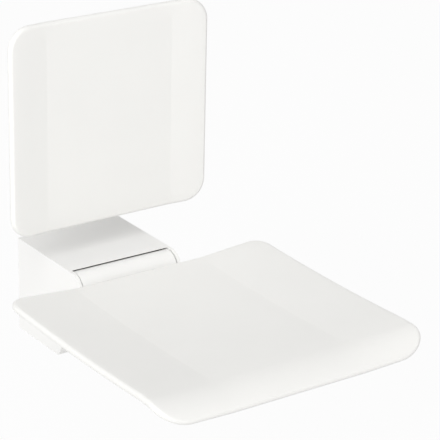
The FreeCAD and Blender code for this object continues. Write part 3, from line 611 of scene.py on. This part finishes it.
@dataclass
class SeatPanel:
    """The seat panel: a hollowed middle, two raised wings and a front lip that turns down.

    Its sheet is laid out flat, with the arc length of the middle as its depth, and is then bent.
    """

    width: float = 0.450
    thickness: float = 0.0115
    edge_round: float = 0.0054
    crease_x: float = 0.112
    rear: tuple[float, float] = (-0.202, DECK_Z - 0.0025)
    lip: tuple[float, float] = (-0.560, DECK_Z - 0.0045)
    front: tuple[float, float] = (-0.617, DECK_Z - 0.0255)
    sag: float = 0.0043
    wing_rise: float = 0.0085
    lip_lag: float = 0.010
    rear_corner: float = 0.027
    front_corner: float = 0.050
    boss_x: float = 0.060
    boss_y: tuple[float, ...] = (-0.250, -0.350, -0.450)
    boss_radius: float = 0.012
    boss_height: float = 0.0085
    boss_foot: float = DECK_Z - 0.022
    crease_run: float = 0.004
    column_steps: tuple[float, float] = (0.028, 0.012)
    hollow_step: float = 0.012
    lip_step: float = 0.0028
    middle_arcs: tuple[Arc, Arc] = field(init=False)
    edge_arcs: tuple[Arc, Arc] = field(init=False)
    split: float = field(init=False)
    length: float = field(init=False)

    def __post_init__(self) -> None:
        """Works out the arcs of the middle and of the wing's outer edge, and the sheet's length."""
        self.middle_arcs = self.section(0.0, 0.0)
        self.edge_arcs = self.section(self.wing_rise, self.lip_lag)
        hollow, nose = self.middle_arcs
        self.split = hollow.length()
        self.length = self.split + nose.length()

    def section(self, rise: float, lag: float) -> tuple[Arc, Arc]:
        """The two arcs of the panel's top at one place across the seat.

        Args:
            rise: how far this section is raised.
            lag: how much further out its lip begins.

        Returns:
            The arc of the hollow and the arc of the lip.
        """
        a = Vector((self.rear[0], self.rear[1] + rise))
        b = Vector((self.lip[0] - lag, self.lip[1] + rise))
        c = Vector(self.front)
        chord = (b - a).length
        radius = (chord * chord / 4 + self.sag**2) / (2 * self.sag)
        middle = (a + b) / 2 + Vector((0.0, radius - self.sag))
        heading = Vector((-(middle - b).y, (middle - b).x))
        if heading.x > 0:
            heading = -heading
        heading.normalize()
        side = Vector((heading.y, -heading.x))
        if side.y > 0:
            side = -side
        span = c - b
        nose_radius = span.length_squared / (2 * span.dot(side))
        nose = b + side * nose_radius
        return (
            Arc(
                middle,
                radius,
                math.atan2(a.y - middle.y, a.x - middle.x),
                -2 * math.asin(chord / 2 / radius),
            ),
            Arc(
                nose,
                nose_radius,
                math.atan2(b.y - nose.y, b.x - nose.x),
                2 * math.asin(span.length / 2 / nose_radius),
            ),
        )

    def on_section(self, arcs: tuple[Arc, Arc], depth: float) -> tuple[Vector, Vector]:
        """A point of one section and the direction that is up from the sheet there.

        Args:
            arcs: the section's arcs, hollow and lip.
            depth: the flat sheet's depth coordinate.

        Returns:
            The (y, z) point and the (y, z) normal.
        """
        hollow, nose = arcs
        if depth <= self.split:
            share = depth / self.split
            return hollow.point(share), -hollow.outward(share)
        share = (depth - self.split) / (self.length - self.split)
        return nose.point(share), nose.outward(share)

    def bent(self, x: float, depth: float, height: float) -> Vector:
        """Where a point of the flat sheet lies on the bent one.

        Args:
            x: across the seat.
            depth: from the rear edge along the sheet.
            height: above the sheet's top, so negative inside it.

        Returns:
            The place in the object's frame.
        """
        middle, middle_up = self.on_section(self.middle_arcs, depth)
        share = max(0.0, (abs(x) - self.crease_x) / (self.width / 2 - self.crease_x))
        if share == 0.0:
            point, up = middle, middle_up
        else:
            edge, edge_up = self.on_section(self.edge_arcs, depth)
            point = middle.lerp(edge, share)
            up = middle_up.lerp(edge_up, share).normalized()
        return Vector((x, point.x + up.x * height, point.y + up.y * height))

    def flat_sheet(self) -> bmesh.types.BMesh:
        """The flat sheet with round corners and full round edges, divided for bending.

        Returns:
            The mesh, X across, Y from 0 at the rear edge to minus the depth.
        """
        bm = rounded_sheet(
            (self.width, self.length, self.thickness),
            -self.length / 2,
            (self.rear_corner, self.front_corner),
            self.edge_round,
        )
        cut_columns(bm, self.crease_x, self.width / 2, self.column_steps)
        hollow_cuts = spread(0.0, self.split, self.hollow_step)
        lip_cuts = spread(self.split, self.length, self.lip_step)
        cut_across(bm, Vector((0.0, -1.0, 0.0)), [*hollow_cuts, self.split, *lip_cuts])
        return bm

    def build(self) -> bpy.types.Object:
        """Bends the sheet and adds the bosses.

        Returns:
            The dressed piece.
        """
        bm = self.flat_sheet()
        crease_end = self.split + self.crease_run
        creases = [
            e
            for e in fold_lines(bm, self.crease_x, self.thickness)
            if all(-v.co.y < crease_end for v in e.verts)
        ]
        for vert in bm.verts:
            vert.co = self.bent(vert.co.x, -vert.co.y, vert.co.z)
        closed(bm)
        for edge in creases:
            edge.smooth = False
        down = Vector((0.0, 0.0, -1.0))
        for y in self.boss_y:
            for x in (-self.boss_x, self.boss_x):
                foot = Vector((x, y, self.boss_foot))
                boss(bm, foot, down, self.boss_radius, self.boss_height)
        piece = finished_object("seat_panel_shell", bm, PANEL_SHARP_DEG)
        dress(piece, SEAT_SHELL)
        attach(piece, "seat")
        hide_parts("seat_panel")
        return piece


# ------- the backrest


@dataclass
class BackrestPanel:
    """The backrest panel: a flat middle, two wings turned forward, round corners and edges."""

    width: float = 0.340
    height: float = 0.324
    thickness: float = 0.0115
    edge_round: float = 0.0054
    foot_z: float = DECK_Z + 0.0555
    front_y: float = -0.1248
    crease_x: float = 0.108
    wing_angle: float = math.radians(5.0)
    corner: float = 0.035
    boss_x: float = 0.034
    boss_spread: float = 0.055
    boss_radius: float = 0.009
    boss_height: float = 0.004
    boss_y: float = -0.1105
    crease_width: float = 0.0004
    column_steps: tuple[float, float] = (0.036, 0.020)
    row_step: float = 0.030

    def bent(self, x: float, z: float, depth: float) -> Vector:
        """Where a point of the flat panel lies on the bent one.

        Args:
            x: across the panel.
            z: height above the panel's foot.
            depth: behind the front face.

        Returns:
            The place in the object's frame.
        """
        past = max(0.0, abs(x) - self.crease_x)
        side = math.copysign(1.0, x)
        turn = self.wing_angle * min(1.0, past / self.crease_width)
        reach = min(abs(x), self.crease_x) + past * math.cos(self.wing_angle)
        reach += depth * math.sin(turn)
        forward = past * math.sin(self.wing_angle) - depth * math.cos(turn)
        return Vector((side * reach, self.front_y - forward, self.foot_z + z))

    def build(self) -> bpy.types.Object:
        """Makes the panel with its bosses.

        Returns:
            The dressed piece.
        """
        stretch = (self.width / 2 - self.crease_x) * (1 / math.cos(self.wing_angle) - 1)
        bm = rounded_sheet(
            (self.width + 2 * stretch, self.height, self.thickness),
            self.height / 2,
            (self.corner, self.corner),
            self.edge_round,
        )
        cut_columns(bm, self.crease_x, self.width / 2, self.column_steps)
        cut_across(bm, Vector((0.0, 1.0, 0.0)), spread(0.0, self.height, self.row_step))
        creases = fold_lines(bm, self.crease_x, self.thickness)
        for vert in bm.verts:
            vert.co = self.bent(vert.co.x, vert.co.y, -vert.co.z)
        closed(bm)
        for edge in creases:
            edge.smooth = False
        back = Vector((0.0, 1.0, 0.0))
        for z in (-self.boss_spread, self.boss_spread):
            for x in (-self.boss_x, self.boss_x):
                place = Vector((x, self.boss_y, self.foot_z + self.height / 2 + z))
                boss(bm, place, back, self.boss_radius, self.boss_height)
        piece = finished_object("backrest_panel_shell", bm, PANEL_SHARP_DEG)
        dress(piece, SEAT_SHELL)
        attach(piece, "console")
        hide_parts("backrest_panel")
        return piece


# ------- carried-over parts


class CarriedParts:
    """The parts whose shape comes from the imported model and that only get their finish."""

    def build(self) -> list[bpy.types.Object]:
        """Dresses every node by its material slot.

        Returns:
            The dressed nodes.
        """
        by_slot = {finish.slot: finish for finish in FINISHES}
        dressed = []
        for entry in frame["record"]["subparts"]:
            node = frame["nodes"][entry["node"]]
            dress(node, by_slot[entry["material_slot"]])
            dressed.append(node)
        return dressed


# ------- studio


@dataclass(frozen=True)
class Softbox:
    """One soft studio light.

    Args:
        name: the light's name.
        place: where it stands.
        power: its power in watts.
        aim: what it points at.
        size: its diameter.
    """

    name: str
    place: tuple[float, float, float]
    power: float
    aim: tuple[float, float, float] = (0.0, -0.30, 0.12)
    size: float = 4.5

    def build(self) -> None:
        """Adds the light."""
        data = bpy.data.lights.new(self.name, "AREA")
        data.shape = "DISK"
        data.size = self.size
        data.energy = self.power
        lamp = bpy.data.objects.new(self.name, data)
        bpy.context.scene.collection.objects.link(lamp)
        toward = Vector(self.aim) - Vector(self.place)
        turn = toward.to_track_quat("-Z", "Y").to_matrix().to_4x4()
        lamp.matrix_world = Matrix.Translation(self.place) @ turn


@dataclass
class Studio:
    """Floor, world, lights and camera."""

    floor_z: float = -0.40
    floor_size: float = 7.0
    floor_grey: float = 0.88
    floor_glow: float = 0.93
    camera_place: tuple[float, float, float] = (-1.5382, -2.5936, 1.3051)
    yaw: float = math.radians(35.20)
    pitch: float = math.radians(21.97)
    roll: float = math.radians(1.30)
    focal_px: float = 2068.76
    frame_px: float = 440.0
    clip_end: float = 50.0
    world_strength: float = 0.54
    lights: tuple[Softbox, ...] = (
        Softbox("key_left", (-7.9, -4.7, 4.6), 428.0),
        Softbox("key_high", (-4.1, -5.2, 7.6), 156.0),
        Softbox("front_fill", (-2.0, -8.7, 4.2), 53.0),
    )

    def camera(self) -> None:
        """Adds the camera with the photograph's place, aim and lens."""
        yaw, pitch, roll = self.yaw, self.pitch, self.roll
        flat = math.cos(pitch)
        ahead = Vector((math.sin(yaw) * flat, math.cos(yaw) * flat, -math.sin(pitch)))
        level = Vector((math.cos(yaw), -math.sin(yaw), 0.0))
        up = level.cross(ahead)
        right = level * math.cos(roll) + up * math.sin(roll)
        up = up * math.cos(roll) - level * math.sin(roll)
        data = bpy.data.cameras.new("photo_camera")
        data.sensor_width = SENSOR_MM
        data.lens = SENSOR_MM * self.focal_px / self.frame_px
        data.clip_end = self.clip_end
        camera = bpy.data.objects.new("photo_camera", data)
        bpy.context.scene.collection.objects.link(camera)
        turn = Matrix((right, up, -ahead)).transposed().to_4x4()
        camera.matrix_world = Matrix.Translation(self.camera_place) @ turn
        bpy.context.scene.camera = camera

    def floor(self) -> None:
        """Adds the pale floor, white to the camera and shaded softly under the object."""
        bm = bmesh.new()
        bmesh.ops.create_grid(bm, x_segments=1, y_segments=1, size=self.floor_size)
        bmesh.ops.translate(bm, verts=bm.verts[:], vec=(0.0, 0.0, self.floor_z))
        floor = finished_object("studio_floor", bm)
        material = bpy.data.materials.new("studio_floor")
        material.use_nodes = True
        tree = material.node_tree
        tree.nodes.clear()
        diffuse = tree.nodes.new("ShaderNodeBsdfDiffuse")
        diffuse.inputs["Color"].default_value = (*[self.floor_grey] * 3, 1.0)
        glow = tree.nodes.new("ShaderNodeEmission")
        glow.inputs["Strength"].default_value = 1.0
        mix = tree.nodes.new("ShaderNodeMixShader")
        tree.links.new(self.seen_directly(tree, self.floor_glow), mix.inputs["Fac"])
        tree.links.new(diffuse.outputs["BSDF"], mix.inputs[1])
        tree.links.new(glow.outputs["Emission"], mix.inputs[2])
        output = tree.nodes.new("ShaderNodeOutputMaterial")
        tree.links.new(mix.outputs["Shader"], output.inputs["Surface"])
        floor.data.materials.append(material)

    def seen_directly(self, tree: bpy.types.NodeTree, share: float) -> bpy.types.NodeSocket:
        """A factor for rays from the camera or by way of a mirror, and 0 for the others.

        Args:
            tree: the node tree to add to.
            share: the factor for such rays.

        Returns:
            The factor socket.
        """
        path = tree.nodes.new("ShaderNodeLightPath")
        both = tree.nodes.new("ShaderNodeMath")
        both.operation = "MAXIMUM"
        tree.links.new(path.outputs["Is Camera Ray"], both.inputs[0])
        tree.links.new(path.outputs["Is Glossy Ray"], both.inputs[1])
        scaled = tree.nodes.new("ShaderNodeMath")
        scaled.operation = "MULTIPLY"
        scaled.inputs[1].default_value = share
        tree.links.new(both.outputs["Value"], scaled.inputs[0])
        return scaled.outputs["Value"]

    def world(self) -> None:
        """Adds the even surroundings, white as a background and dimmer as a light."""
        world = bpy.data.worlds.new("studio_world")
        world.use_nodes = True
        tree = world.node_tree
        tree.nodes.clear()
        light = tree.nodes.new("ShaderNodeBackground")
        light.inputs["Color"].default_value = (1.0, 1.0, 1.0, 1.0)
        light.inputs["Strength"].default_value = self.world_strength
        seen = tree.nodes.new("ShaderNodeBackground")
        seen.inputs["Color"].default_value = (1.0, 1.0, 1.0, 1.0)
        seen.inputs["Strength"].default_value = 1.0
        mix = tree.nodes.new("ShaderNodeMixShader")
        tree.links.new(self.seen_directly(tree, 1.0), mix.inputs["Fac"])
        tree.links.new(light.outputs["Background"], mix.inputs[1])
        tree.links.new(seen.outputs["Background"], mix.inputs[2])
        output = tree.nodes.new("ShaderNodeOutputWorld")
        tree.links.new(mix.outputs["Shader"], output.inputs["Surface"])
        bpy.context.scene.world = world

    def build(self) -> None:
        """Builds the whole studio."""
        self.camera()
        self.floor()
        self.world()
        for light in self.lights:
            light.build()
        bpy.context.scene.view_settings.view_transform = "Standard"


def main() -> None:
    """Builds the studio and every piece in order."""
    logging.basicConfig(level=logging.INFO, format="%(name)s: %(message)s")
    Studio().build()
    LOG.info("studio ready")
    for node in CarriedParts().build():
        LOG.info("dressed %s", node.name)
    for maker in (SeatPanel(), BackrestPanel()):
        piece = maker.build()
        LOG.info("built %s with %d faces", piece.name, len(piece.data.polygons))


if __name__ == "__main__":
    main()
